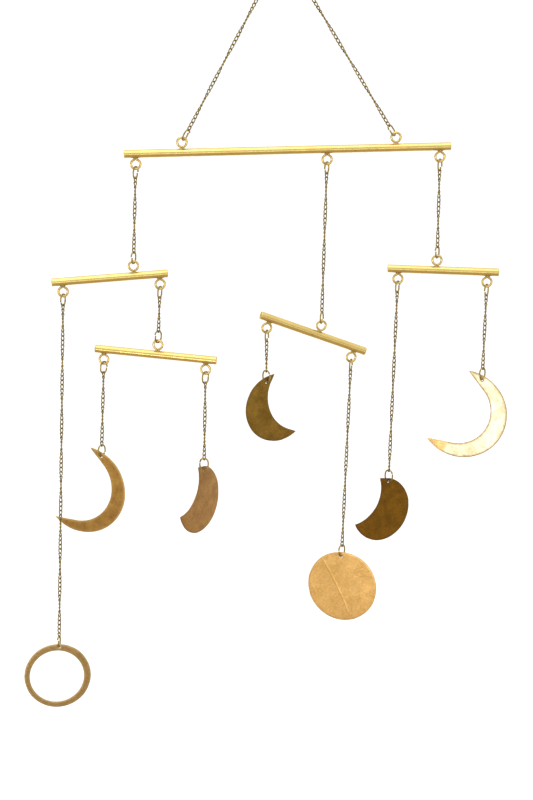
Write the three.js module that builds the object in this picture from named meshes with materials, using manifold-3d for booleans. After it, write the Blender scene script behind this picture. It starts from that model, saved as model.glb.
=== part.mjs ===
// A brass hanging mobile: five round rods on fine chain, with seven sheet-metal moons.
// Millimetres and degrees, +Z up, +X to the right and +Y away from the viewer.
// The origin is where the hanging ring bears on its hook: the top of the ring's hole.
import * as THREE from "three";
import { mergeVertices } from "three/addons/utils/BufferGeometryUtils.js";
import Module from "manifold-3d";

const wasm = await Module();
wasm.setup();

// Driving dimensions.
const gap = 0.3;
const rod = { diameter: 7.5, sides: 12, endChamfer: 0.6 };
const eye = { radius: 4.35, wire: 2.2, offset: 9.6, root: 3.0, neck: 38, steps: 7, sides: 4 };
const jumpRing = { width: 9.6, length: 12.6, wire: 1.5, steps: 8, sides: 3, turnInEye: 58 };
const hangingRing = { holeRadius: 8, wire: 3, steps: 16, sides: 5, chainSpread: 2.6, turn: 6 };
const chain = {
  pitch: 4.25,
  width: 3.2,
  thickness: 1.5,
  neckWidth: 1.9,
  neckThickness: 1.3,
  twist: 15,
  endWire: 0.8,
  endWidth: 3.7,
  endLength: 5.9,
  endSteps: 6,
  sides: 3,
};
const sheet = { thickness: 1.2, arcSteps: 11, holeRadius: 1.6, holeSides: 8 };

// A rod's stations are measured along its axis from its left end. Tilt lifts the right end, and
// turn swings it away from the viewer. Drop is the fall from the eye above to the rod's own eye,
// and aside is how far that eye sways to the right, because a hung mobile is never quite still.
const rods = {
  top_bar: { length: 305, tilt: 2.4, turn: 6, hangAt: [54, 253], eyesAt: [11, 188.5, 294.5] },
  left_bar: { length: 109, tilt: 4.9, turn: 8, hangAt: [77.3], eyesAt: [10.4, 101] },
  middle_bar: { length: 110.5, tilt: -19.7, turn: 14, hangAt: [59.9], eyesAt: [10.4, 99.2] },
  right_bar: { length: 106.5, tilt: -1, turn: 4, hangAt: [46.7], eyesAt: [10.7, 95.6] },
  third_bar: { length: 118, tilt: -1.7, turn: -10, hangAt: [60.6], eyesAt: [9.1, 107.5] },
};
const topBarPlace = { station: 142, drop: 195.15 };
const rodHangs = [
  { name: "left_bar", from: "top_bar", eye: 0, drop: 95, aside: -0.5 },
  { name: "middle_bar", from: "top_bar", eye: 1, drop: 157.2, aside: 0.4 },
  { name: "right_bar", from: "top_bar", eye: 2, drop: 97.6, aside: 2 },
  { name: "third_bar", from: "left_bar", eye: 1, drop: 58, aside: -1 },
];

// Moon shapes, each cut by hand. A crescent is a disc with a round bite, which opens along +X in
// its own frame: gap is the half angle between its tips, and flat is the angle of a straight cut
// beside its upper tip.
const shapes = {
  moon_ring: { radius: 32.1, innerRadius: 26.2, innerShift: [-0.7, -0.5] },
  full_moon: { radius: 34.5 },
  thin_crescent_left: { radius: 42.7, bite: 35.2, offset: 7.2, gap: 72, flat: 0 },
  thin_crescent_right: { radius: 43, bite: 32.8, offset: 6.4, gap: 66.9, flat: 0 },
  middle_crescent: { radius: 32.9, bite: 35.5, offset: 27.8, gap: 73.1, flat: 0 },
  wide_crescent_left: { radius: 32.4, bite: 30.7, offset: 37.4, gap: 52, flat: 19 },
  wide_crescent_right: { radius: 31.2, bite: 32.7, offset: 38.9, gap: 54.6, flat: 19 },
};

// Each moon hangs by a hole at hole radius and angle from its centre. Opening is the way its bite
// faces, counter-clockwise from the right, turn swings its right side away, and ringTurn is the
// turn of the jump ring in its hole.
const moons = {
  moon_ring: {
    from: "left_bar", eye: 0, drop: 349.7, aside: -0.8, turn: 9, opening: 0,
    hole: [29.1, 87.9], ringTurn: 80,
  },
  full_moon: {
    from: "middle_bar", eye: 1, drop: 198.6, aside: -1.6, turn: -18, opening: 0,
    hole: [30.2, 93.4], ringTurn: 46,
  },
  thin_crescent_left: {
    from: "third_bar", eye: 0, drop: 95.5, aside: -1.1, turn: -18.6, opening: 153.8,
    hole: [39, 62.9], ringTurn: 44,
  },
  thin_crescent_right: {
    from: "right_bar", eye: 1, drop: 95.1, aside: 0.5, turn: -14, opening: 151.8,
    hole: [39.2, 64], ringTurn: 48,
  },
  wide_crescent_left: {
    from: "third_bar", eye: 1, drop: 98.1, aside: 0.8, turn: 57.7, opening: 146.8,
    hole: [28.4, 75.7], ringTurn: -5,
  },
  wide_crescent_right: {
    from: "right_bar", eye: 0, drop: 198.9, aside: -0.2, turn: 29.1, opening: 149.1,
    hole: [27.7, 75], ringTurn: -34,
  },
  middle_crescent: {
    from: "middle_bar", eye: 0, drop: 52.7, aside: 1.2, turn: 27.6, opening: 23.4,
    hole: [28, 115.4], ringTurn: -35,
  },
};

const brass = {
  rods: new THREE.MeshStandardMaterial({ name: "rods", color: 0xe0b455, metalness: 1 }),
  fittings: new THREE.MeshStandardMaterial({ name: "fittings", color: 0xa88a45, metalness: 1 }),
  paleSheet: new THREE.MeshStandardMaterial({ name: "pale_sheet", color: 0xd9b06a, metalness: 1 }),
  darkSheet: new THREE.MeshStandardMaterial({ name: "dark_sheet", color: 0x9a7434, metalness: 1 }),
};
const darkMoons = ["wide_crescent_left", "wide_crescent_right", "middle_crescent"];

const radians = THREE.MathUtils.degToRad;
const up = new THREE.Vector3(0, 0, 1);
const mobile = new THREE.Group();

// A closed three.js geometry as a manifold solid, and back.
function toSolid(geometry) {
  const bare = geometry.clone();
  bare.deleteAttribute("normal");
  bare.deleteAttribute("uv");
  const merged = mergeVertices(bare, 1e-4);
  const index = merged.index.array;
  const corners = [];
  for (let i = 0; i < index.length; i += 3) {
    const [a, b, c] = [index[i], index[i + 1], index[i + 2]];
    if (a !== b && b !== c && c !== a) corners.push(a, b, c);
  }
  return new wasm.Manifold(
    new wasm.Mesh({
      numProp: 3,
      vertProperties: merged.attributes.position.array,
      triVerts: new Uint32Array(corners),
    }),
  );
}

function toGeometry(solid) {
  const mesh = solid.getMesh();
  const geometry = new THREE.BufferGeometry();
  geometry.setAttribute("position", new THREE.BufferAttribute(new Float32Array(mesh.vertProperties), 3));
  geometry.setIndex(new THREE.BufferAttribute(new Uint32Array(mesh.triVerts), 1));
  geometry.computeVertexNormals();
  return geometry;
}

function addMesh(name, geometry, material, position, turn = 0, tilt = 0) {
  const mesh = new THREE.Mesh(geometry, material);
  mesh.name = name;
  mesh.position.copy(position);
  mesh.rotation.set(0, -radians(tilt), radians(turn), "ZYX");
  mobile.add(mesh);
  mesh.updateMatrixWorld(true);
  return mesh;
}

// Rings of points joined into a skin. Each ring is a list of Vector3, all of one length, and a
// skin that isn't closed on itself gets a flat cap at each end.
function skin(rings, closed) {
  const sides = rings[0].length;
  const corners = [];
  const bands = closed ? rings.length : rings.length - 1;
  for (let i = 0; i < bands; i += 1) {
    const here = i * sides;
    const next = ((i + 1) % rings.length) * sides;
    for (let j = 0; j < sides; j += 1) {
      const k = (j + 1) % sides;
      corners.push(here + j, here + k, next + k, here + j, next + k, next + j);
    }
  }
  if (!closed) {
    const last = (rings.length - 1) * sides;
    for (let j = 1; j < sides - 1; j += 1) {
      corners.push(0, j + 1, j, last, last + j, last + j + 1);
    }
  }
  const geometry = new THREE.BufferGeometry().setFromPoints(rings.flat());
  geometry.setIndex(corners);
  geometry.computeVertexNormals();
  return geometry;
}

// A closed wire along a loop of [x, z] points in the XZ plane, with mitred corners.
function wireLoop(points, wire, sides) {
  const count = points.length;
  const rings = points.map(([x, z], i) => {
    const [ax, az] = points[(i + count - 1) % count];
    const [bx, bz] = points[(i + 1) % count];
    const before = new THREE.Vector2(x - ax, z - az).normalize();
    const after = new THREE.Vector2(bx - x, bz - z).normalize();
    const along = before.clone().add(after).normalize();
    const mitre = wire / 2 / Math.max(0.5, along.dot(before));
    const out = new THREE.Vector2(along.y, -along.x);
    return Array.from({ length: sides }, (_, j) => {
      const angle = (2 * Math.PI * (j + 0.5)) / sides;
      const aside = mitre * Math.cos(angle);
      return new THREE.Vector3(x + out.x * aside, (wire / 2) * Math.sin(angle), z + out.y * aside);
    });
  });
  return skin(rings, true);
}

// Points of an oval of two half circles, width and length across its centreline.
function ovalPoints(width, length, steps) {
  const straight = (length - width) / 2;
  return Array.from({ length: steps }, (_, i) => {
    const angle = (2 * Math.PI * (i + 0.5)) / steps;
    const rise = Math.sin(angle);
    return [(width / 2) * Math.cos(angle), (width / 2) * rise + Math.sign(rise) * straight];
  });
}

// An eye: a round loop of wire whose two ends run down together into the rod. Neck is the half
// angle that the loop leaves open below.
function eyeSolid(station, side) {
  const points = [[0, eye.root]];
  const arc = 360 - 2 * eye.neck;
  for (let i = 0; i <= eye.steps; i += 1) {
    const angle = radians(eye.neck - 90 + (arc * i) / eye.steps);
    points.push([eye.radius * Math.cos(angle), eye.offset + eye.radius * Math.sin(angle)]);
  }
  const loop = wireLoop(points, eye.wire, eye.sides);
  if (side < 0) loop.rotateX(Math.PI);
  return toSolid(loop.translate(station, 0, 0));
}

function rodGeometry({ length, hangAt, eyesAt }) {
  const radius = rod.diameter / 2;
  const chamfer = rod.endChamfer;
  const profile = [
    new THREE.Vector2(0, 0),
    new THREE.Vector2(radius - chamfer, 0),
    new THREE.Vector2(radius, chamfer),
    new THREE.Vector2(radius, length - chamfer),
    new THREE.Vector2(radius - chamfer, length),
    new THREE.Vector2(0, length),
  ];
  const bar = new THREE.LatheGeometry(profile, rod.sides).rotateZ(-Math.PI / 2);
  let solid = toSolid(bar);
  for (const station of hangAt) solid = solid.add(eyeSolid(station, 1));
  for (const station of eyesAt) solid = solid.add(eyeSolid(station, -1));
  return toGeometry(solid);
}

// Where a rod's eyes are in the world, once its mesh is placed.
function eyePlace(mesh, station, side) {
  return new THREE.Vector3(station, 0, side * eye.offset).applyMatrix4(mesh.matrixWorld);
}

// Outline of a crescent that opens along +X: the outer arc from the upper tip round to the lower
// one, a straight to the bite, the bite's arc and a straight back to the upper tip.
function crescentShape({ radius, bite, offset, gap: tipAngle, flat }) {
  const tip = radians(tipAngle);
  const reach = Math.hypot(radius * Math.cos(tip) - offset, radius * Math.sin(tip));
  const tipSeen = Math.atan2(radius * Math.sin(tip), radius * Math.cos(tip) - offset);
  const touch = tipSeen + Math.acos(Math.min(1, bite / reach));
  const shape = new THREE.Shape();
  shape.moveTo(radius * Math.cos(tip), radius * Math.sin(tip));
  shape.absarc(0, 0, radius, tip, 2 * Math.PI - tip - radians(flat), false);
  shape.lineTo(radius * Math.cos(tip), -radius * Math.sin(tip));
  shape.absarc(offset, 0, bite, -touch, touch, true);
  shape.closePath();
  return shape;
}

function discShape({ radius, innerRadius, innerShift }) {
  const shape = new THREE.Shape().absarc(0, 0, radius, 0, 2 * Math.PI, false);
  if (innerRadius) {
    shape.holes.push(new THREE.Path().absarc(...innerShift, innerRadius, 0, 2 * Math.PI, true));
  }
  return shape;
}

// A moon cut from sheet, with its hanging hole at the origin and its face towards -Y.
function moonGeometry(shape, { opening, hole }) {
  const [holeDistance, holeAngle] = hole;
  const outline = shape.bite ? crescentShape(shape) : discShape(shape);
  const options = { depth: sheet.thickness, bevelEnabled: false, curveSegments: sheet.arcSteps };
  const plate = new THREE.ExtrudeGeometry(outline, options);
  const holeX = holeDistance * Math.cos(radians(holeAngle));
  const holeZ = holeDistance * Math.sin(radians(holeAngle));
  plate.rotateZ(radians(opening)).translate(-holeX, -holeZ, -sheet.thickness / 2);
  const drillLength = 4 * sheet.thickness;
  const drill = new THREE.CylinderGeometry(sheet.holeRadius, sheet.holeRadius, drillLength, sheet.holeSides);
  const solid = toSolid(plate).subtract(toSolid(drill.rotateX(Math.PI / 2)));
  return toGeometry(solid).rotateX(Math.PI / 2);
}

// The chain between two jump rings: a flat three-sided band that is wide at each link's middle and
// narrow where two links meet, turning as it falls, with a true open link at each end.
function chainGeometry(length, count, startTurn, turnStep) {
  const pitch = length / count;
  const spans = count - 2;
  const rings = [];
  for (let i = 0; i <= 2 * spans; i += 1) {
    const height = length / 2 - pitch * (1 + i / 2);
    const atLink = i % 2 === 1;
    const wide = (atLink ? chain.width : chain.neckWidth) / 2;
    const thick = (atLink ? chain.thickness : chain.neckThickness) / 2;
    const angle = radians(startTurn + turnStep * (i / 2 + 0.5));
    const [c, s] = [Math.cos(angle), Math.sin(angle)];
    const place = (across, aside) =>
      new THREE.Vector3(across * c - aside * s, across * s + aside * c, height);
    rings.push([place(wide, thick / 2), place(0, -thick), place(-wide, thick / 2)]);
  }
  const centreWidth = chain.endWidth - chain.endWire;
  const centreLength = chain.endLength - chain.endWire;
  const endLink = (side, turn) =>
    toSolid(
      wireLoop(ovalPoints(centreWidth, centreLength, chain.endSteps), chain.endWire, chain.sides)
        .rotateZ(radians(turn))
        .translate(0, 0, side * (length / 2 - pitch / 2)),
    );
  return toGeometry(
    toSolid(skin(rings, false))
      .add(endLink(1, startTurn))
      .add(endLink(-1, startTurn + turnStep * (count - 1))),
  );
}

// An oval ring of wire, width by length outside, with steps corners.
function ringGeometry({ width, length, wire, steps, sides }) {
  return wireLoop(ovalPoints(width - wire, length - wire, steps), wire, sides);
}

// Hangs a chain with its two jump rings from one bearing to another. Each end gives its point, how
// far the jump ring's centre lies from it, and the jump ring's turn.
function hangChain(name, upper, lower) {
  const line = lower.point.clone().sub(upper.point);
  const fall = line.clone().normalize();
  const ringDistance = line.length() - upper.reach - lower.reach;
  const inset = ringInner - gap;
  const length = ringDistance - 2 * inset;
  const count = Math.round(length / chain.pitch);
  const lean = new THREE.Quaternion().setFromUnitVectors(up, fall.clone().negate());
  const place = (mesh, distance, turn) => {
    mesh.position.copy(upper.point).addScaledVector(fall, distance);
    mesh.quaternion.copy(lean).multiply(new THREE.Quaternion().setFromAxisAngle(up, radians(turn)));
  };
  const ring = ringGeometry(jumpRing);
  const upperRing = addMesh(name + "_jump_ring_upper", ring, brass.fittings, up);
  const lowerRing = addMesh(name + "_jump_ring_lower", ring.clone(), brass.fittings, up);
  place(upperRing, upper.reach, upper.turn);
  place(lowerRing, upper.reach + ringDistance, lower.turn);
  // The end links stand across the jump rings, so the turn between them is shared by all links.
  const between = lower.turn - upper.turn;
  const halfTurns = Math.round(((count - 1) * chain.twist - between) / 180);
  const turnStep = (between + 180 * halfTurns) / (count - 1);
  const links = addMesh(name, chainGeometry(length, count, 90, turnStep), brass.fittings, up);
  place(links, upper.reach + ringDistance / 2, upper.turn);
}

// How far a jump ring's centre hangs from an eye's centre, from a hole's centre, and from the
// centre of the hanging ring's wire.
const ringInner = jumpRing.length / 2 - jumpRing.wire;
const eyeReach = eye.radius - eye.wire / 2 + ringInner - gap;
const holeReach = sheet.holeRadius + ringInner - gap;
const hookReach = ringInner - hangingRing.wire / 2 - gap;

const placed = {};

function placeRod(name, position) {
  const { turn, tilt } = rods[name];
  placed[name] = addMesh(name, rodGeometry(rods[name]), brass.rods, position, turn, tilt);
}

function hangRod({ name, from, eye: fromEye, drop, aside }) {
  const above = rods[from];
  const start = eyePlace(placed[from], above.eyesAt[fromEye], -1);
  const own = start.clone().add(new THREE.Vector3(aside, 0, -drop));
  const { turn, tilt, hangAt } = rods[name];
  const local = new THREE.Vector3(hangAt[0], 0, eye.offset);
  local.applyEuler(new THREE.Euler(0, -radians(tilt), radians(turn), "ZYX"));
  placeRod(name, own.clone().sub(local));
  hangChain(
    name + "_chain",
    { point: start, reach: eyeReach, turn: above.turn + jumpRing.turnInEye },
    { point: own, reach: eyeReach, turn: turn + jumpRing.turnInEye },
  );
}

function hangMoon(name) {
  const moon = moons[name];
  const above = rods[moon.from];
  const start = eyePlace(placed[moon.from], above.eyesAt[moon.eye], -1);
  const own = start.clone().add(new THREE.Vector3(moon.aside, 0, -moon.drop));
  const material = darkMoons.includes(name) ? brass.darkSheet : brass.paleSheet;
  addMesh(name, moonGeometry(shapes[name], moon), material, own, moon.turn);
  hangChain(
    name + "_chain",
    { point: start, reach: eyeReach, turn: above.turn + jumpRing.turnInEye },
    { point: own, reach: holeReach, turn: moon.ringTurn },
  );
}

// The hanging ring, in one plane with the top bar.
const hookRadius = hangingRing.holeRadius + hangingRing.wire / 2;
const hookTurn = radians(hangingRing.turn);
const hookWidth = 2 * hookRadius + hangingRing.wire;
const hookGeometry = ringGeometry({ ...hangingRing, width: hookWidth, length: hookWidth });
const hookCentre = new THREE.Vector3(0, 0, -hangingRing.holeRadius);
addMesh("hanging_ring", hookGeometry, brass.fittings, hookCentre, hangingRing.turn);

// The top bar hangs from the ring by two chains, one from each side of the ring's lowest point.
const { turn: topTurn, tilt: topTilt } = rods.top_bar;
const along = new THREE.Vector3(1, 0, 0).applyEuler(
  new THREE.Euler(0, -radians(topTilt), radians(topTurn), "ZYX"),
);
placeRod("top_bar", new THREE.Vector3(0, 0, -topBarPlace.drop).addScaledVector(along, -topBarPlace.station));
["hanging_chain_left", "hanging_chain_right"].forEach((name, i) => {
  const side = i === 0 ? -1 : 1;
  const spread = side * hangingRing.chainSpread;
  const rise = Math.sqrt(hookRadius ** 2 - spread ** 2);
  const hookPoint = new THREE.Vector3(
    spread * Math.cos(hookTurn),
    spread * Math.sin(hookTurn),
    hookCentre.z - rise,
  );
  const eyePoint = eyePlace(placed.top_bar, rods.top_bar.hangAt[i], 1);
  hangChain(
    name,
    { point: hookPoint, reach: hookReach, turn: hangingRing.turn + jumpRing.turnInEye },
    { point: eyePoint, reach: eyeReach, turn: topTurn + jumpRing.turnInEye },
  );
});

rodHangs.forEach(hangRod);
Object.keys(moons).forEach(hangMoon);

export default mobile;
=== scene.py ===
import math

import bpy
import numpy as np
from mathutils import Matrix, Vector
from mathutils.geometry import delaunay_2d_cdt


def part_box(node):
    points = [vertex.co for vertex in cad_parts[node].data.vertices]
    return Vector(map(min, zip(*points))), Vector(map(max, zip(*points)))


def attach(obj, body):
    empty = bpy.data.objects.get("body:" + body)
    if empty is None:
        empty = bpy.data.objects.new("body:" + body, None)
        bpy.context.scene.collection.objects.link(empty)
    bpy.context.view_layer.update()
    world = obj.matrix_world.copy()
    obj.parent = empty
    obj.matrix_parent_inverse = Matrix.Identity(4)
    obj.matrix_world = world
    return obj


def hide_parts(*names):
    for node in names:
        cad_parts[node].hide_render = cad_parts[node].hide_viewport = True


# A brass mobile of moons. X runs to the right, Y away from the viewer and Z up, in metres.
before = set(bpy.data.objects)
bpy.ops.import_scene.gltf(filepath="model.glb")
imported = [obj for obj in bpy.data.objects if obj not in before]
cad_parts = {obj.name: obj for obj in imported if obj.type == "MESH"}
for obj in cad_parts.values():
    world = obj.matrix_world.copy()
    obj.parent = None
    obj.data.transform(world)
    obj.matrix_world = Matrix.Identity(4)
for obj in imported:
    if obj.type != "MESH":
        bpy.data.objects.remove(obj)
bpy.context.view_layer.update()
print("frame loaded")

mm = 0.001
tau = 2 * math.pi
upwards = np.array([0.0, 0.0, 1.0])


# All corners of a CAD node.
def nodePoints(name):
    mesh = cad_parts[name].data
    points = np.empty(3 * len(mesh.vertices))
    mesh.vertices.foreach_get("co", points)
    return points.reshape(-1, 3)


# The middle of a CAD node's box.
def nodeMiddle(name):
    lowest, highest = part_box(name)
    return np.array(lowest + highest) / 2


# A vector, or each row of an array, divided by its own length.
def unit(vector):
    return vector / np.linalg.norm(vector, axis=-1, keepdims=True)


# The normal of a flat node: the direction in which its points vary least, towards the viewer.
def nodeNormal(name):
    points = nodePoints(name)
    normal = np.linalg.svd(points - points.mean(0), full_matrices=False)[2][2]
    return normal if normal[1] < 0 else -normal


# Collects shells of vertices and faces, and makes one piece of them that rides on the frame.
class Builder:
    def __init__(self):
        self.vertices = []
        self.faces = []
        self.marks = []
        self.blushes = []
        self.count = 0

    def add(self, points, faces, mark=0.0, blush=0.0):
        points = np.asarray(points).reshape(-1, 3)
        self.vertices.append(points)
        self.faces += [[corner + self.count for corner in face] for face in faces]
        self.marks.append(np.broadcast_to(np.asarray(mark, float).reshape(-1), len(points)))
        self.blushes.append(np.broadcast_to(np.asarray(blush, float).reshape(-1), len(points)))
        self.count += len(points)

    # A grid of rows of points, each row closed on itself. Quads run row by row, and a grid that
    # isn't closed along its rows gets a flat cap at each end.
    def addGrid(self, rings, closed, mark=0.0, blush=0.0):
        rows, columns = rings.shape[:2]
        row = np.arange(rows if closed else rows - 1)[:, None] * columns
        nextRow = (row + columns) % (rows * columns)
        column = np.arange(columns)[None, :]
        nextColumn = (column + 1) % columns
        corners = [row + column, nextRow + column, nextRow + nextColumn, row + nextColumn]
        faces = np.stack(np.broadcast_arrays(*corners), -1).reshape(-1, 4).tolist()
        if not closed:
            last = (rows - 1) * columns
            faces.append(list(range(columns)))
            faces.append(list(range(last + columns - 1, last - 1, -1)))
        self.add(rings, faces, mark, blush)

    # The finished piece stands for the CAD node of its own name.
    def finish(self, name, material):
        mesh = bpy.data.meshes.new(name)
        mesh.from_pydata(np.concatenate(self.vertices).tolist(), [], self.faces)
        mesh.validate()
        for kind, values in (("mark", self.marks), ("blush", self.blushes)):
            attribute = mesh.attributes.new(kind, "FLOAT", "POINT")
            attribute.data.foreach_set("value", np.concatenate(values).astype(np.float32))
        mesh.shade_smooth()
        mesh.materials.append(material)
        piece = bpy.data.objects.new(name, mesh)
        bpy.context.scene.collection.objects.link(piece)
        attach(piece, "root")
        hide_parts(name)
        return piece


# A round wire along a path: each path point gets a ring of corners at the wire's radius, in the
# plane of the given normal and its cross product with the path's direction.
def wireRings(path, radius, sides, closed, normal):
    following = np.roll(path, -1, 0)
    before = np.roll(path, 1, 0)
    if not closed:
        following[-1] = path[-1]
        before[0] = path[0]
    along = unit(following - before)
    across = unit(np.cross(along, normal))
    lift = np.cross(across, along)
    angle = np.arange(sides) * tau / sides
    reach = np.broadcast_to(np.asarray(radius, float), len(path))[:, None, None]
    cosine, sine = np.cos(angle)[None, :, None], np.sin(angle)[None, :, None]
    return path[:, None] + reach * (cosine * across[:, None] + sine * lift[:, None])


# Smooth random waves of one value: a sum of sines whose rates rise and whose heights fall.
def waves(position, seed, rate, octaves=4):
    draw = np.random.default_rng(seed)
    total = np.zeros_like(np.asarray(position, float))
    for octave in range(1, octaves + 1):
        phase = draw.uniform(0, tau)
        total = total + np.sin(position * rate * octave * draw.uniform(0.8, 1.2) + phase) / octave
    return total


# A shader node with its settings and its inputs, each a value or a link from another node.
def addNode(tree, kind, inputs, **values):
    node = tree.nodes.new(kind)
    for name, value in values.items():
        setattr(node, name, value)
    for socket, value in inputs.items():
        if isinstance(value, bpy.types.NodeSocket):
            tree.links.new(value, node.inputs[socket])
        else:
            node.inputs[socket].default_value = value
    return node


# A value that runs from 0 to 1, spread to run between two others.
def spreadTo(tree, value, low, high):
    return addNode(tree, "ShaderNodeMapRange", {"Value": value, "To Min": low, "To Max": high}).outputs[0]


# Noise on stretched Object coordinates, spread to run from 0 to 1 between two of its levels.
def noiseBetween(tree, place, scale, detail, low, high, stretch=(1, 1, 1), turn=(0, 0, 0)):
    mapping = addNode(tree, "ShaderNodeMapping", {"Vector": place, "Scale": stretch, "Rotation": turn})
    noise = addNode(
        tree,
        "ShaderNodeTexNoise",
        {"Vector": mapping.outputs[0], "Scale": scale, "Detail": detail, "Roughness": 0.6},
    )
    spread = addNode(
        tree, "ShaderNodeMapRange", {"Value": noise.outputs[0], "From Min": low, "From Max": high}
    )
    return spread.outputs[0]


# Two colours mixed or multiplied, each a value or a link from another node.
def mixColours(tree, factor, first, second, blend="MIX"):
    mix = tree.nodes.new("ShaderNodeMix")
    mix.data_type = "RGBA"
    mix.blend_type = blend
    for socket, value in ((0, factor), (6, first), (7, second)):
        if isinstance(value, bpy.types.NodeSocket):
            tree.links.new(value, mix.inputs[socket])
        else:
            mix.inputs[socket].default_value = value
    return mix.outputs[2]


def rgba(colour):
    return (*colour, 1.0)


# Brass with clouds of tarnish, a fine grain, a brushed direction and dark specks. The mesh's own
# mark brings solder stains by the eyes, oxide and painted shade inside the chain links, and a rim
# colour painted on the moons; its blush brings a second colour, the plain brass tip beside a painted glint.
def brassMaterial(name, look):
    material = bpy.data.materials.new(name)
    material.use_nodes = True
    tree = material.node_tree
    shader = tree.nodes["Principled BSDF"]
    place = tree.nodes.new("ShaderNodeTexCoord").outputs["Object"]
    mark = addNode(tree, "ShaderNodeAttribute", {}, attribute_name="mark").outputs["Fac"]
    blush = addNode(tree, "ShaderNodeAttribute", {}, attribute_name="blush").outputs["Fac"]
    clouds = noiseBetween(tree, place, look["cloudScale"], 5, 0.38, 0.66)
    grain = noiseBetween(tree, place, look["grainScale"], 3, 0.3, 0.7)
    brushed = noiseBetween(tree, place, 1, 3, 0.3, 0.7, look["brushStretch"], look["brushTurn"])
    speckLevel = look["speckLevel"]
    specks = noiseBetween(tree, place, look["speckScale"], 2, speckLevel, speckLevel + 0.05)
    colour = mixColours(tree, clouds, rgba(look["colour"]), rgba(look["tarnish"]))
    colour = mixColours(tree, mark, colour, rgba(look["markColour"]))
    colour = mixColours(tree, blush, colour, rgba(look["blushColour"]))
    for shade, depth in ((brushed, look["streaks"]), (grain, look["grainShade"])):
        colour = mixColours(tree, 1.0, colour, spreadTo(tree, shade, 1 - depth, 1), "MULTIPLY")
    colour = mixColours(tree, specks, colour, rgba(look["speckColour"]))
    tree.links.new(colour, shader.inputs["Base Color"])
    rough = {0: brushed, 1: look["brushRoughness"], 2: spreadTo(tree, clouds, *look["roughness"])}
    rough = addNode(tree, "ShaderNodeMath", rough, operation="MULTIPLY_ADD")
    tree.links.new(rough.outputs[0], shader.inputs["Roughness"])
    shader.inputs["Metallic"].default_value = 1.0
    bumps = {"Height": brushed, "Distance": look["brushDepth"], "Strength": 1.0}
    lines = addNode(tree, "ShaderNodeBump", bumps).outputs[0]
    bumps = {"Height": grain, "Distance": look["grainDepth"], "Strength": 1.0, "Normal": lines}
    tree.links.new(addNode(tree, "ShaderNodeBump", bumps).outputs[0], shader.inputs["Normal"])
    return material


rodLook = {
    "colour": (0.78, 0.59, 0.2),
    "tarnish": (0.72, 0.52, 0.17),
    "markColour": (0.26, 0.14, 0.05),
    "blushColour": (0.6, 0.4, 0.12),
    "speckColour": (0.2, 0.11, 0.05),
    "cloudScale": 70,
    "grainScale": 1300,
    "brushStretch": (25, 1100, 1100),
    "brushTurn": (0, 0, 0),
    "speckScale": 420,
    "speckLevel": 0.7,
    "streaks": 0.04,
    "grainShade": 0.08,
    "roughness": (0.16, 0.24),
    "brushRoughness": 0.06,
    "brushDepth": 0.000005,
    "grainDepth": 0.000004,
}
fittingLook = {
    **rodLook,
    "colour": (0.46, 0.34, 0.1),
    "tarnish": (0.32, 0.23, 0.07),
    "markColour": (0.09, 0.06, 0.02),
    "speckColour": (0.12, 0.08, 0.04),
    "speckLevel": 0.64,
    "cloudScale": 260,
    "brushStretch": (700, 700, 700),
    "roughness": (0.24, 0.38),
    "grainShade": 0.2,
}
rodBrass = brassMaterial("rod brass", rodLook)
fittingBrass = brassMaterial("aged brass", fittingLook)
print("materials made")


# Widths and lengths are across the wire's centre, openings and cuts are in radians, and a power
# below one makes an oval fuller at its corners.
jumpRing = {
    "width": 8.1 * mm,
    "length": 11.1 * mm,
    "wire": 1.5 * mm,
    "opening": 0.12,
    "cutSpread": 0.5,
    "swing": (0.1, 0.45),
    "power": 0.86,
    "steps": 44,
    "sides": 10,
}
link = {
    "pitch": 4.25 * mm,
    "wire": 1.15 * mm,
    "halfWidth": 1.32 * mm,
    "skew": 0.62 * mm,
    "twist": math.radians(18),
    "unevenTwist": 0.05,
    "steps": 10,
    "sides": 5,
}
hangingRing = {"radius": 9.5 * mm, "wire": 3 * mm, "steps": 96, "sides": 20}
ringInner = jumpRing["length"] / 2 - jumpRing["wire"] / 2
frameGap = 0.3 * mm


# Where a chain's two jump rings are, which way it falls, and the normals of its rings.
def hangLine(chain):
    upper = nodeMiddle(chain + "_jump_ring_upper")
    lower = nodeMiddle(chain + "_jump_ring_lower")
    normals = [nodeNormal(chain + "_jump_ring_" + end) for end in ("upper", "lower")]
    return {"upper": upper, "lower": lower, "fall": unit(lower - upper), "normals": normals}


# An open oval ring: x is half the width times a power of the cosine, z half the length times that
# power of the sine, and its two ends stand a little apart in depth, by the cube of the way round.
def addJumpRing(name, middle, normal, fall, seed):
    draw = np.random.default_rng(seed)
    across = unit(np.cross(normal, fall))
    cut = draw.uniform(-jumpRing["cutSpread"], jumpRing["cutSpread"])
    cut += 0 if draw.random() < 0.5 else math.pi
    steps, end, power = jumpRing["steps"], jumpRing["opening"] / 2, jumpRing["power"]
    angle = cut + np.linspace(end, tau - end, steps)
    swing = np.linspace(-1, 1, steps) ** 3 * draw.uniform(*jumpRing["swing"]) * jumpRing["wire"]
    cosine, sine = np.cos(angle), np.sin(angle)
    x = jumpRing["width"] / 2 * np.sign(cosine) * np.abs(cosine) ** power
    z = jumpRing["length"] / 2 * np.sign(sine) * np.abs(sine) ** power
    path = middle + x[:, None] * across + z[:, None] * fall + swing[:, None] * normal
    wire = Builder()
    wire.addGrid(wireRings(path, jumpRing["wire"] / 2, jumpRing["sides"], False, normal), False)
    wire.finish(name, fittingBrass)
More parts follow.
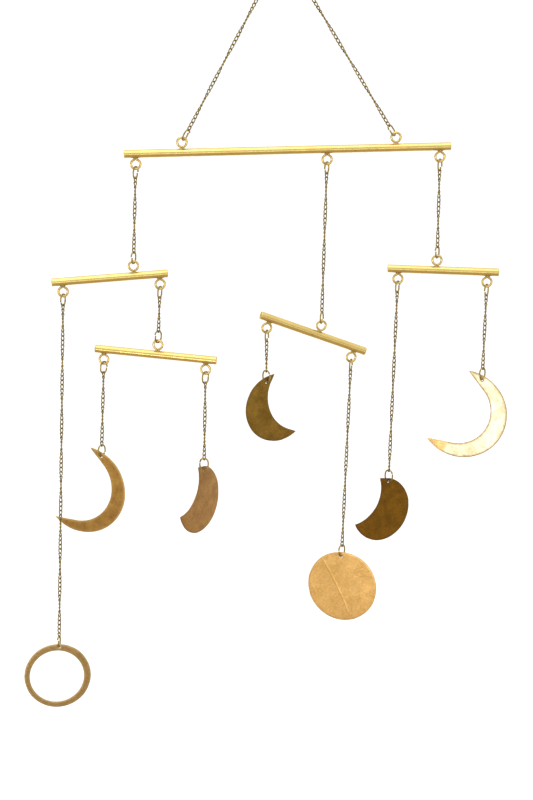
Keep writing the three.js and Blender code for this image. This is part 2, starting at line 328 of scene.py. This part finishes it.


# Curb links down a line, each an oval whose long sides lean out of its plane by the sine of twice
# the angle, and each turned a little further than the one above it. The whole twist is such that
# the end links stand across their jump rings. The wire's inner side, where links touch, is darkened:
# oxide in those hollows, and painted shade there as well.
def addChain(name, line, seed):
    draw = np.random.default_rng(seed)
    inset = ringInner - frameGap
    start = line["upper"] + line["fall"] * inset
    length = np.linalg.norm(line["lower"] - line["upper"]) - 2 * inset
    count = round(length / link["pitch"])
    pitch = length / count
    side = unit(np.cross(line["normals"][0], line["fall"]))
    front = line["normals"][0]
    lowerNormal = line["normals"][1]
    between = math.atan2(lowerNormal @ side, lowerNormal @ front)
    wanted = link["twist"] * (count - 1)
    turn = between + math.pi * round((wanted - between) / math.pi)
    turns = math.pi / 2 + np.linspace(0, turn, count) + draw.normal(0, link["unevenTwist"], count)
    angle = np.arange(link["steps"]) * tau / link["steps"]
    halfLength = (pitch + link["wire"]) / 2
    radius = link["wire"] / 2
    x, y, z = link["halfWidth"] * np.cos(angle), link["skew"] * np.sin(2 * angle), halfLength * np.sin(angle)
    oval = np.stack([x, y, z], -1)
    template = wireRings(oval, radius, link["sides"], True, np.array([0.0, 1.0, 0.0]))
    outward = unit(oval * [1, 0, 1])[:, None]
    outerShare = ((template - oval[:, None]) * outward).sum(2) / radius
    # Darker on the wire's inner side: oxide and painted shade in the hollows between links.
    oxideAndShade = np.clip(0.35 - 0.75 * outerShare, 0, 0.9)
    sideways, forwards = np.cos(turns), np.sin(turns)
    links = Builder()
    for i in range(count):
        across = side * sideways[i] + front * forwards[i]
        facing = front * sideways[i] - side * forwards[i]
        middle = start + line["fall"] * pitch * (i + 0.5)
        links.addGrid(middle + template @ np.stack([across, facing, line["fall"]]), True, oxideAndShade)
    links.finish(name, fittingBrass)


upperEnd = "_jump_ring_upper"
chainNames = sorted(node[: -len(upperEnd)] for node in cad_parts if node.endswith(upperEnd))
hangLines = {chain: hangLine(chain) for chain in chainNames}
for seed, (chain, line) in enumerate(hangLines.items()):
    addChain(chain, line, seed)
    for i, end in enumerate(("upper", "lower")):
        addJumpRing(f"{chain}_jump_ring_{end}", line[end], line["normals"][i], line["fall"], 2 * seed + i)
print("chains made:", len(chainNames))

hookNormal = nodeNormal("hanging_ring")
hookAngle = np.arange(hangingRing["steps"]) * tau / hangingRing["steps"]
hookAcross = unit(np.cross(hookNormal, upwards))
hookPath = nodeMiddle("hanging_ring") + hangingRing["radius"] * (
    np.cos(hookAngle)[:, None] * hookAcross + np.sin(hookAngle)[:, None] * upwards
)
hook = Builder()
hook.addGrid(wireRings(hookPath, hangingRing["wire"] / 2, hangingRing["sides"], True, hookNormal), True)
hook.finish("hanging_ring", fittingBrass)


rod = {
    "radius": 3.75 * mm,
    "edge": 0.5 * mm,
    "dome": 0.35 * mm,
    "capRings": (0.12, 0.4, 0.7, 0.9),
    "unevenness": 0.004,
    "stain": 0.8,
    "stainReach": 3 * mm,
    "spacing": 1.2 * mm,
    "sides": 48,
}
eye = {"radius": 4.35 * mm, "wire": 2.2 * mm, "offset": 9.6 * mm, "neck": 0.26, "steps": 52, "sides": 12}
eyeFoot = {
    "spread": 2.3 * mm,
    "depth": 3.3 * mm,
    "forwards": 1.1 * mm,
    "bend": (0.77 * mm, 0.3 * mm, 0.2 * mm),
    "taper": 0.6,
    "steps": 9,
}
eyeStain = {"base": 0.16, "foot": 0.6, "reach": 0.9 * mm}
solder = {
    "size": (2.5 * mm, 1.5 * mm, 0.75 * mm),
    "forwards": 0.5 * mm,
    "sunk": 0.15 * mm,
    "stain": 0.45,
    "poleGap": 0.15,
    "rows": 9,
    "sides": 16,
}
eyeReach = eye["radius"] - eye["wire"] / 2 + ringInner - frameGap
rods = {
    "top_bar": {
        "length": 305 * mm,
        "firstEye": 11 * mm,
        "hungBy": ["hanging_chain_left", "hanging_chain_right"],
        "carries": ["left_bar_chain", "middle_bar_chain", "right_bar_chain"],
    },
    "left_bar": {
        "length": 109 * mm,
        "firstEye": 10.4 * mm,
        "hungBy": ["left_bar_chain"],
        "carries": ["moon_ring_chain", "third_bar_chain"],
    },
    "middle_bar": {
        "length": 110.5 * mm,
        "firstEye": 10.4 * mm,
        "hungBy": ["middle_bar_chain"],
        "carries": ["middle_crescent_chain", "full_moon_chain"],
    },
    "right_bar": {
        "length": 106.5 * mm,
        "firstEye": 10.7 * mm,
        "hungBy": ["right_bar_chain"],
        "carries": ["wide_crescent_right_chain", "thin_crescent_right_chain"],
    },
    "third_bar": {
        "length": 118 * mm,
        "firstEye": 9.1 * mm,
        "hungBy": ["third_bar_chain"],
        "carries": ["thin_crescent_left_chain", "wide_crescent_left_chain"],
    },
}


# An eye: a round loop with two ends that leave it at the neck and spread as feet on the rod. The
# feet follow a curve of two straight pulls, from the loop's end by the bend to the foot. A flat
# ellipsoid of solder lies over the feet. Its axes run along the rod, backwards and out.
def addEye(builder, centre, axes):
    angle = np.linspace(eye["neck"], tau - eye["neck"], eye["steps"])
    loop = np.stack([-np.sin(angle), 0 * angle, -np.cos(angle)], -1) * eye["radius"]
    loop[:, 2] += eye["offset"]
    pull = np.linspace(0, 1, eyeFoot["steps"] + 1)[1:, None]
    bendOut, bendForwards, bendUp = eyeFoot["bend"]
    ends = []
    for mirror, tip in ((-1, loop[0]), (1, loop[-1])):
        bend = np.array([mirror * bendOut, -bendForwards, rod["radius"] + bendUp])
        foot = np.array([mirror * eyeFoot["spread"], -eyeFoot["forwards"], eyeFoot["depth"]])
        ends.append((1 - pull) ** 2 * tip + 2 * pull * (1 - pull) * bend + pull**2 * foot)
    path = np.concatenate([ends[0][::-1], loop, ends[1]])
    fade = np.linspace(1, eyeFoot["taper"], eyeFoot["steps"])
    radius = np.concatenate([fade[::-1], np.ones(eye["steps"]), fade]) * eye["wire"] / 2
    rings = wireRings(path, radius, eye["sides"], False, np.array([0.0, -1.0, 0.0]))
    height = np.clip((rings[:, :, 2] - rod["radius"]) / eyeStain["reach"], 0, 9)
    builder.addGrid(centre + rings @ axes, False, eyeStain["base"] + eyeStain["foot"] * np.exp(-height))
    along = np.linspace(solder["poleGap"], math.pi - solder["poleGap"], solder["rows"])[:, None]
    around = np.arange(solder["sides"]) * tau / solder["sides"]
    halfLength, halfWidth, halfHeight = solder["size"]
    x = -halfLength * np.cos(along) + 0 * around
    y = halfWidth * np.sin(along) * np.cos(around) - solder["forwards"]
    z = halfHeight * np.sin(along) * np.sin(around) + rod["radius"] - solder["sunk"]
    builder.addGrid(centre + np.stack([x, y, z], -1) @ axes, False, solder["stain"])


# A rod: a lathed profile whose ends rise by the square of the radius and are filed round at the
# edge. Its eyes stand where its chains end, and solder has stained the rod round each of them.
def addRod(name, look):
    eyesBelow = [hangLines[c]["upper"] - hangLines[c]["fall"] * eyeReach for c in look["carries"]]
    eyesAbove = [hangLines[c]["lower"] + hangLines[c]["fall"] * eyeReach for c in look["hungBy"]]
    along = unit(eyesBelow[-1] - eyesBelow[0])
    back = unit(np.cross(upwards, along))
    rise = np.cross(along, back)
    left = eyesBelow[0] + rise * eye["offset"] - along * look["firstEye"]
    edgeAngle = np.linspace(0, math.pi / 2, 5)
    innerRadius = rod["radius"] - rod["edge"]
    capRadius = np.array(rod["capRings"]) * innerRadius
    capStation = rod["dome"] * (capRadius / innerRadius) ** 2
    edgeStation = rod["dome"] + rod["edge"] * (1 - np.cos(edgeAngle))
    edgeRadius = innerRadius + rod["edge"] * np.sin(edgeAngle)
    endStation = np.concatenate([capStation, edgeStation])
    endRadius = np.concatenate([capRadius, edgeRadius])
    bodyCount = round(look["length"] / rod["spacing"])
    bodyStation = np.linspace(endStation[-1], look["length"] - endStation[-1], bodyCount)[1:-1]
    station = np.concatenate([endStation, bodyStation, look["length"] - endStation[::-1]])
    radius = np.concatenate([endRadius, np.full(len(bodyStation), rod["radius"]), endRadius[::-1]])
    angle = np.arange(rod["sides"]) * tau / rod["sides"]
    radius = radius * (1 + rod["unevenness"] * waves(station, round(look["length"] / mm), 300))
    outward = np.cos(angle)[:, None] * back - np.sin(angle)[:, None] * rise
    rings = left + station[:, None, None] * along + radius[:, None, None] * outward[None]
    stain = np.zeros((len(station), rod["sides"]))
    eyes = [(point, -1) for point in eyesBelow] + [(point, 1) for point in eyesAbove]
    for point, side in eyes:
        gapAlong = (station - (point - left) @ along)[:, None]
        gapAround = rod["radius"] * np.arccos(np.clip(outward @ rise * side, -1, 1))
        stain += rod["stain"] * np.exp(-(gapAlong**2 + gapAround**2) / rod["stainReach"] ** 2)
    builder = Builder()
    builder.addGrid(rings, False, np.minimum(stain, 1))
    for point, side in eyes:
        axes = np.stack([along, back, rise * side])
        addEye(builder, left + along * ((point - left) @ along), axes)
    builder.finish(name, rodBrass)


for name, look in rods.items():
    addRod(name, look)
print("rods made:", len(rods))


# The outline, its unevenness, the warp and the fade of the painted rim colour are in millimetres.
sheet = {
    "thickness": 1.2 * mm,
    "spacing": 1.4 * mm,
    "clearance": 0.7,
    "edge": 0.28 * mm,
    "holeRadius": 1.25 * mm,
    "holeSteps": 24,
    "holeRest": 1.3 * mm,
    "outlineSpacing": 0.5,
    "innerSpacing": 0.8,
    "unevenness": 0.07,
    "unevenRate": 9,
    "warp": 0.09,
    "rimFade": 0.8,
    "weld": 0.01 * mm,
}
foldMesh = {
    "rows": (-1.7, -0.9, -0.35, 0.35, 0.9, 1.7),
    "step": 1.1,
    "bare": 2.2,
    "bareShare": 0.52,
    "borderGap": 0.5,
    "fadeShare": 0.47,
    "fadeRate": 60,
}
holeReach = sheet["holeRest"] + ringInner - frameGap
moonLook = {
    **rodLook,
    "colour": (0.75, 0.48, 0.15),
    "tarnish": (0.62, 0.38, 0.11),
    "markColour": (0.6, 0.4, 0.14),
    "speckColour": (0.3, 0.18, 0.06),
    "speckLevel": 0.71,
    "cloudScale": 90,
    "grainScale": 480,
    "grainShade": 0.24,
    "brushStretch": (90, 1500, 1500),
    "brushTurn": (0, 0.7, 0),
    "roughness": (0.32, 0.42),
    "streaks": 0.1,
    "brushDepth": 0.000012,
    "grainDepth": 0.00001,
}
# Millimetres and degrees, from each moon's middle. The gap is half the angle between the tips, the
# flat is the angle of a straight cut beside one tip, and a crescent opens towards its opening. The
# hole has a distance and a direction, and a blush has its spot, its reach and the width of its fade.
# Each moon's colours are one brass painted lighter or darker for the light it catches at its own turn: the
# almost white of thin_crescent_right is a painted glint, and the dark sheets carry painted shade. A mark
# colour lighter than the brass paints an edge highlight on the rim.
moons = {
    "moon_ring": {
        "slot": "pale_sheet",
        "radius": 32.1,
        "inner": (-0.7, -0.5, 26.2),
        "opening": 0,
        "hole": (29.1, 87.9),
        "look": {
            "colour": (0.55, 0.36, 0.15),
            "tarnish": (0.42, 0.27, 0.1),
            "markColour": (0.62, 0.46, 0.2),
        },
    },
    "full_moon": {
        "slot": "pale_sheet",
        "radius": 34.5,
        "opening": 0,
        "hole": (30.2, 93.4),
        "folds": [
            {"start": (-21.5, 26.5), "end": (8.6, -28), "bow": 1.6, "height": 0.1, "width": 0.5},
            {"start": (10.5, 13.5), "end": (22.5, 20), "bow": 0.5, "height": 0.07, "width": 0.4},
            {"start": (13, 10), "end": (24.5, 14.5), "bow": 0.4, "height": 0.08, "width": 0.4},
            {"start": (-30, -3), "end": (-25.5, -14), "bow": 0.3, "height": 0.06, "width": 0.4},
        ],
        "look": {
            "colour": (0.9, 0.56, 0.2),
            "tarnish": (0.78, 0.47, 0.15),
            "markColour": (0.8, 0.5, 0.18),
        },
    },
    "thin_crescent_left": {
        "slot": "pale_sheet",
        "radius": 42.7,
        "bite": 35.2,
        "offset": 7.2,
        "gap": 72,
        "flat": 0,
        "opening": 153.8,
        "hole": (39, 62.9),
        "look": {
            "colour": (0.5, 0.28, 0.07),
            "tarnish": (0.36, 0.19, 0.05),
            "markColour": (0.6, 0.38, 0.12),
        },
    },
    "thin_crescent_right": {
        "slot": "pale_sheet",
        "radius": 43,
        "bite": 32.8,
        "offset": 6.4,
        "gap": 66.9,
        "flat": 0,
        "opening": 151.8,
        "hole": (39.2, 64),
        # Its almost white colour is a painted glint, and the blush keeps the lower-left tip in plain brass.
        "blush": (-36, -27, 23, 0.6),
        "look": {
            "colour": (0.95, 0.9, 0.7),
            "tarnish": (0.93, 0.82, 0.5),
            "markColour": (0.5, 0.33, 0.12),
            "blushColour": (0.82, 0.52, 0.2),
        },
    },
    "middle_crescent": {
        "slot": "dark_sheet",
        "radius": 32.9,
        "bite": 35.5,
        "offset": 27.8,
        "gap": 73.1,
        "flat": 0,
        "opening": 23.4,
        "hole": (28, 115.4),
        "look": {
            "colour": (0.3, 0.17, 0.03),
            "tarnish": (0.22, 0.12, 0.02),
            "markColour": (0.24, 0.13, 0.03),
        },
    },
    "wide_crescent_left": {
        "slot": "dark_sheet",
        "radius": 32.4,
        "bite": 30.7,
        "offset": 37.4,
        "gap": 52,
        "flat": 19,
        "opening": 146.8,
        "hole": (28.4, 75.7),
        "look": {
            "colour": (0.44, 0.23, 0.06),
            "tarnish": (0.34, 0.17, 0.045),
            "markColour": (0.36, 0.19, 0.05),
        },
    },
    "wide_crescent_right": {
        "slot": "dark_sheet",
        "radius": 31.2,
        "bite": 32.7,
        "offset": 38.9,
        "gap": 54.6,
        "flat": 19,
        "opening": 149.1,
        "hole": (27.7, 75),
        "look": {
            "colour": (0.24, 0.11, 0.012),
            "tarnish": (0.17, 0.08, 0.01),
            "markColour": (0.18, 0.09, 0.012),
        },
    },
}


# Points on a circle's arc in millimetres, about one per step, from one angle to another.
def arcPoints(centre, radius, start, end, step=0.6):
    count = max(3, round(abs(end - start) * radius / step))
    angle = np.linspace(start, end, count, endpoint=False)
    return np.stack([centre[0] + radius * np.cos(angle), centre[1] + radius * np.sin(angle)], -1)


# A closed outline with its corners softened: each point becomes the weighted mean of its
# neighbours along the outline, which are first spread evenly.
def softened(points, spacing, reach):
    closed = np.concatenate([points, points[:1]])
    stations = np.concatenate([[0], np.cumsum(np.linalg.norm(np.diff(closed, axis=0), axis=1))])
    count = round(stations[-1] / spacing)
    even = np.linspace(0, stations[-1], count, endpoint=False)
    spread = np.stack([np.interp(even, stations, closed[:, k]) for k in (0, 1)], -1)
    total = np.zeros_like(spread)
    weights = 0.0
    for shift in range(-3 * reach, 3 * reach + 1):
        weight = math.exp(-0.5 * (shift / reach) ** 2)
        total += weight * np.roll(spread, shift, 0)
        weights += weight
    return total / weights


# A crescent opening along +X: the outer arc, a straight cut beside the upper tip, and the bite.
def crescentOutline(look):
    tip = math.radians(look["gap"])
    flat = math.radians(look["flat"])
    radius, bite, offset = look["radius"], look["bite"], look["offset"]
    reach = math.hypot(radius * math.cos(tip) - offset, radius * math.sin(tip))
    seen = math.atan2(radius * math.sin(tip), radius * math.cos(tip) - offset)
    touch = seen + math.acos(min(1, bite / reach))
    outer = arcPoints((0, 0), radius, tip, tau - tip - flat)
    corner = radius * np.array([[math.cos(tip), -math.sin(tip)]])
    inner = arcPoints((offset, 0), bite, -touch, touch - tau)
    return np.concatenate([outer, corner, inner])


# Whether points lie inside a closed outline: an odd number of its edges cross the ray to +X.
def insideOutline(points, outline):
    x, y = points[:, 0, None], points[:, 1, None]
    ax, ay = outline[None, :, 0], outline[None, :, 1]
    bx, by = np.roll(ax, -1, 1), np.roll(ay, -1, 1)
    crosses = (ay > y) != (by > y)
    at = ax + (y - ay) / np.where(by == ay, 1, by - ay) * (bx - ax)
    return (crosses & (x < at)).sum(1) % 2 == 1


# A closed outline moved inwards, or for a hole's outline outwards, along its own normals.
def movedIn(outline, distance):
    along = unit(np.roll(outline, -1, 0) - np.roll(outline, 1, 0))
    return outline + distance * np.stack([-along[:, 1], along[:, 0]], -1)


# A fold's start and length, its direction and the direction across it.
def foldLine(fold):
    start, end = np.array(fold["start"]), np.array(fold["end"])
    length = np.linalg.norm(end - start)
    heading = (end - start) / length
    return start, length, heading, np.array([-heading[1], heading[0]])


# Where points lie by a bowed fold line: their share of the way along it, and how far they are
# from it, where the line leaves its straight by the bow times four times share times one less share.
def foldPlace(points, fold):
    start, length, heading, across = foldLine(fold)
    share = (points - start) @ heading / length
    off = (points - start) @ across - fold["bow"] * 4 * share * (1 - share)
    return share, off


# Rows of points beside a fold line, close enough to carry its ridge.
def foldPoints(fold):
    start, length, heading, across = foldLine(fold)
    share = np.linspace(0, 1, max(4, round(length / foldMesh["step"])))[:, None, None]
    off = fold["width"] * np.array(foldMesh["rows"])[None, :, None]
    bowed = off + fold["bow"] * 4 * share * (1 - share)
    return (start + share * length * heading + bowed * across).reshape(-1, 2)


# The distance of each point from the nearest of some others.
def nearestTo(points, others):
    return np.linalg.norm(points[:, None] - others[None], axis=2).min(1)


# How far a rounded edge may reach in at each point: less where the outline turns in a sharp tip,
# at most a third of its own radius there.
def edgeRoom(outline, reach):
    steps = np.roll(outline, -1, 0) - outline
    heading = np.arctan2(steps[:, 1], steps[:, 0])
    bend = (heading - np.roll(heading, 1) + math.pi) % tau - math.pi
    bend = (np.roll(bend, 1) + bend + np.roll(bend, -1)) / 3
    ownRadius = np.linalg.norm(steps, axis=1) / np.maximum(bend, 1e-6)
    room = np.minimum(reach, ownRadius / 3)
    for _ in range(3):
        room = np.minimum(room, (np.roll(room, 1) + np.roll(room, -1)) / 2)
    return room[:, None]


# A moon's middle and its outlines, in millimetres from the hole: the outer one, the hole's, and a
# ring's inner one. Those of holes run the other way round.
def moonLoops(look, seed):
    away, holeAngle = look["hole"][0], math.radians(look["hole"][1])
    centre = -away * np.array([math.cos(holeAngle), math.sin(holeAngle)])
    opening = math.radians(look["opening"])
    turn = np.array([[math.cos(opening), math.sin(opening)], [-math.sin(opening), math.cos(opening)]])
    if "bite" in look:
        outline = crescentOutline(look) @ turn
    else:
        outline = arcPoints((0, 0), look["radius"], 0, tau)
    outline = softened(outline, sheet["outlineSpacing"], 1)
    station = np.linspace(0, tau, len(outline), endpoint=False)
    uneven = sheet["unevenness"] * waves(np.sin(station), seed, sheet["unevenRate"])
    loops = [movedIn(outline, uneven[:, None]) + centre]
    holeRadius = sheet["holeRadius"] / mm
    loops.append(arcPoints((0, 0), holeRadius, tau, 0, tau * holeRadius / sheet["holeSteps"]))
    if "inner" in look:
        x, y, innerRadius = look["inner"]
        loops.append(arcPoints((centre[0] + x, centre[1] + y), innerRadius, tau, 0, sheet["innerSpacing"]))
    return centre, loops


# The points of a moon's face: those of its outlines, an even grid clear of them, and the rows
# beside its folds. With them goes the share of the painted rim colour, which fades by the distance inwards.
def facePoints(centre, outer, faceLoops, folds):
    spacing = sheet["spacing"] / mm
    low, high = outer.min(0), outer.max(0)
    gridX, gridY = np.meshgrid(np.arange(low[0], high[0], spacing), np.arange(low[1], high[1], spacing))
    grid = np.stack([gridX.ravel(), gridY.ravel()], -1)
    kept = insideOutline(grid, faceLoops[0])
    for loop in faceLoops[1:]:
        kept &= ~insideOutline(grid, loop)
    grid = grid[kept]
    borders = np.concatenate(faceLoops)
    grid = grid[nearestTo(grid, borders) > sheet["clearance"] * spacing]
    for fold in folds:
        along, off = foldPlace(grid - centre, fold)
        beside = np.abs(off) > foldMesh["bare"] * fold["width"]
        past = np.abs(along - 0.5) > foldMesh["bareShare"]
        added = foldPoints(fold) + centre
        added = added[nearestTo(added, borders) > foldMesh["borderGap"]]
        grid = np.concatenate([grid[beside | past], added])
    paintedRimShare = np.exp(-nearestTo(grid, borders) / sheet["rimFade"])
    return np.concatenate([borders, grid]), np.concatenate([np.ones(len(borders)), paintedRimShare])


# The face's triangles, between its outer outline and its holes, all handed over in one direction.
def faceTriangles(points, faceLoops):
    starts = np.cumsum([0] + [len(loop) for loop in faceLoops])
    outlines = [list(range(starts[i], starts[i + 1])) for i in range(len(faceLoops))]
    outlines[1:] = [outline[::-1] for outline in outlines[1:]]
    found = delaunay_2d_cdt([Vector(point) for point in points.tolist()], [], outlines, 1, 1e-7, True)
    source = [ids[0] for ids in found[3]]
    return [[source[c] for c in face] for face, ids in zip(found[2], found[5]) if ids == [0]]


# A moon: two faces joined all round by a rounded edge, whose inset is one less the cosine of the
# angle round it, and warped a little as hand-cut sheet is.
def addMoon(name, look, seed):
    line = hangLines[name + "_chain"]
    hole = line["lower"] + line["fall"] * holeReach
    normal = nodeNormal(name)
    across = unit(np.cross(upwards, normal))
    rise = np.cross(normal, across)
    centre, loops = moonLoops(look, seed)
    edge = sheet["edge"] / mm
    half = sheet["thickness"] / mm / 2
    roundAngle = np.linspace(0, math.pi / 2, 4)
    insets = (1 - np.cos(roundAngle))[::-1]
    depths = half - edge * (1 - np.sin(roundAngle))[::-1]
    rimInsets = np.concatenate([insets, insets[::-1]])
    rimDepths = np.concatenate([depths, -depths[::-1]])
    rooms = [edgeRoom(loop, edge) for loop in loops]
    faceLoops = [movedIn(loop, room) for loop, room in zip(loops, rooms)]
    folds = look.get("folds", [])
    flat, paintedRimShare = facePoints(centre, loops[0], faceLoops, folds)
    triangles = faceTriangles(flat, faceLoops)

    # The warp in millimetres, from the place on the sheet: broad waves and the folds' ridges.
    def warp(points):
        u, v = points[:, 0], points[:, 1]
        broad = sheet["warp"] * waves(u + 0.4 * v, seed + 7, 0.07, 3)
        broad += sheet["warp"] * waves(v - 0.3 * u, seed + 9, 0.06, 3)
        for fold in folds:
            along, off = foldPlace(points - centre, fold)
            past = np.abs(along - 0.5) - foldMesh["fadeShare"]
            fade = 1 / (1 + np.exp(past * foldMesh["fadeRate"]))
            broad += fold["height"] * fade * np.exp(-((off / fold["width"]) ** 2))
        return broad

    def placed(points, depth):
        depth = depth + warp(points)
        return hole + mm * (points[:, :1] * across + points[:, 1:] * rise + depth[:, None] * normal)

    # The share of another colour round a spot: on thin_crescent_right, the lower-left tip left in plain
    # brass beside the painted glint.
    def blushAt(points):
        x, y, reach, width = look.get("blush", (0, 0, -50, 1))
        away = np.linalg.norm(points - centre - [x, y], axis=1)
        return 1 / (1 + np.exp((away - reach) / width))

    builder = Builder()
    builder.add(placed(flat, half), triangles, paintedRimShare, blushAt(flat))
    builder.add(placed(flat, -half), [t[::-1] for t in triangles], paintedRimShare, blushAt(flat))
    # The rounded edge takes the rim colour in full: a painted edge highlight on moon_ring and
    # thin_crescent_left, and darker than the faces on the other moons.
    for loop, room in zip(loops, rooms):
        moved = [movedIn(loop, i * room) for i in rimInsets]
        rows = np.stack([placed(m, d) for m, d in zip(moved, rimDepths)])
        builder.addGrid(rows, False, 1.0, np.concatenate([blushAt(m) for m in moved]))
        del builder.faces[-2:]
    piece = builder.finish(name, brassMaterial(name + " brass", {**moonLook, **look["look"]}))
    merge = piece.modifiers.new("merge edges", "WELD")
    merge.merge_threshold = sheet["weld"]


for seed, (name, look) in enumerate(moons.items()):
    addMoon(name, look, seed)
print("moons made:", len(moons))


floorLook = {
    "height": -1.2,
    "radius": 40,
    "sides": 96,
    # The beige centre is painted shade under and in front of the mobile.
    "paintedShade": (0.46, 0.38, 0.3),
    "far": (0.95, 0.95, 0.95),
    "centre": (0, -1.1),
    "fade": (1.25, 1.85),
}
lights = {
    "overhead": {"place": (-0.3, -0.6, 1.6), "aim": (0, 0, -0.4), "size": (2.2, 2.2), "energy": 16},
    "front strip": {"place": (0, -3.2, -0.45), "aim": (0, 0, -0.4), "size": (2.6, 0.4), "energy": 5},
    "low left": {"place": (-1.0, -2.9, -1.0), "aim": (0.18, 0, -0.44), "size": (0.8, 0.35), "energy": 7},
}
worldLook = {"colour": (1, 1, 1), "horizon": 0.62, "zenith": 1.45}
cameraLook = {
    "lens": 100,
    "sensor": 36,
    "elevation": 13.6,
    "roll": 1.8,
    "distance": 2.1111,
    "aim": (-0.0026, -0.0003, -0.4328),
    "farthest": 200,
}


# A round floor, nearly white beyond the fade and a darker beige round its centre, by a smooth step of the
# distance from that centre. The beige is painted shade: it stands in for less light on the floor under
# and in front of the mobile, and the rods reflect it as their brown undersides.
def makeFloor():
    sides = floorLook["sides"]
    angle = np.arange(sides) * tau / sides
    rim = np.stack([np.cos(angle), np.sin(angle), 0 * angle], -1) * floorLook["radius"]
    mesh = bpy.data.meshes.new("floor")
    mesh.from_pydata((rim + [0, 0, floorLook["height"]]).tolist(), [], [list(range(sides))])
    floor = bpy.data.objects.new("floor", mesh)
    bpy.context.scene.collection.objects.link(floor)
    material = bpy.data.materials.new("pale floor")
    material.use_nodes = True
    tree = material.node_tree
    shader = tree.nodes["Principled BSDF"]
    place = tree.nodes.new("ShaderNodeTexCoord").outputs["Object"]
    x, y = floorLook["centre"]
    shift = (-x, -y, -floorLook["height"])
    shifted = addNode(tree, "ShaderNodeMapping", {"Vector": place, "Location": shift}).outputs[0]
    distance = addNode(tree, "ShaderNodeVectorMath", {0: shifted}, operation="LENGTH").outputs["Value"]
    fade = {"Value": distance, "From Min": floorLook["fade"][0], "From Max": floorLook["fade"][1]}
    far = addNode(tree, "ShaderNodeMapRange", fade, interpolation_type="SMOOTHSTEP").outputs[0]
    colour = mixColours(tree, far, rgba(floorLook["paintedShade"]), rgba(floorLook["far"]))
    tree.links.new(colour, shader.inputs["Base Color"])
    shader.inputs["Roughness"].default_value = 1.0
    shader.inputs["Specular IOR Level"].default_value = 0.0
    mesh.materials.append(material)


# A rectangular lamp that faces its aim.
def makeLight(name, look):
    data = bpy.data.lights.new(name, "AREA")
    data.shape = "RECTANGLE"
    data.size, data.size_y = look["size"]
    data.energy = look["energy"]
    lamp = bpy.data.objects.new(name, data)
    bpy.context.scene.collection.objects.link(lamp)
    lamp.location = look["place"]
    lamp.rotation_euler = (Vector(look["aim"]) - Vector(look["place"])).to_track_quat("-Z", "Y").to_euler()


# The camera looks down at its aim by the elevation, and is rolled about its own line of sight.
def makeCamera():
    rise, roll = math.radians(cameraLook["elevation"]), math.radians(cameraLook["roll"])
    forward = Vector((0, math.cos(rise), -math.sin(rise)))
    level = Vector((1, 0, 0))
    upright = level.cross(forward)
    right = math.cos(roll) * level + math.sin(roll) * upright
    top = math.cos(roll) * upright - math.sin(roll) * level
    data = bpy.data.cameras.new("camera")
    data.lens = cameraLook["lens"]
    data.sensor_width = cameraLook["sensor"]
    data.clip_end = cameraLook["farthest"]
    camera = bpy.data.objects.new("camera", data)
    bpy.context.scene.collection.objects.link(camera)
    turn = Matrix((right, top, -forward)).transposed().to_4x4()
    place = Vector(cameraLook["aim"]) - forward * cameraLook["distance"]
    camera.matrix_world = Matrix.Translation(place) @ turn
    bpy.context.scene.camera = camera


# Soft light from all round: its strength is one level at the horizon and rises by the sine of the
# height above it.
def makeWorld():
    world = bpy.data.worlds.new("studio")
    world.use_nodes = True
    tree = world.node_tree
    direction = tree.nodes.new("ShaderNodeTexCoord").outputs["Generated"]
    height = addNode(tree, "ShaderNodeSeparateXYZ", {0: direction}).outputs["Z"]
    strength = spreadTo(tree, height, worldLook["horizon"], worldLook["zenith"])
    tree.links.new(strength, tree.nodes["Background"].inputs["Strength"])
    tree.nodes["Background"].inputs["Color"].default_value = rgba(worldLook["colour"])
    bpy.context.scene.world = world


makeFloor()
for name, look in lights.items():
    makeLight(name, look)
makeCamera()
makeWorld()
bpy.context.scene.view_settings.view_transform = "Standard"
print("floor, light and camera made")
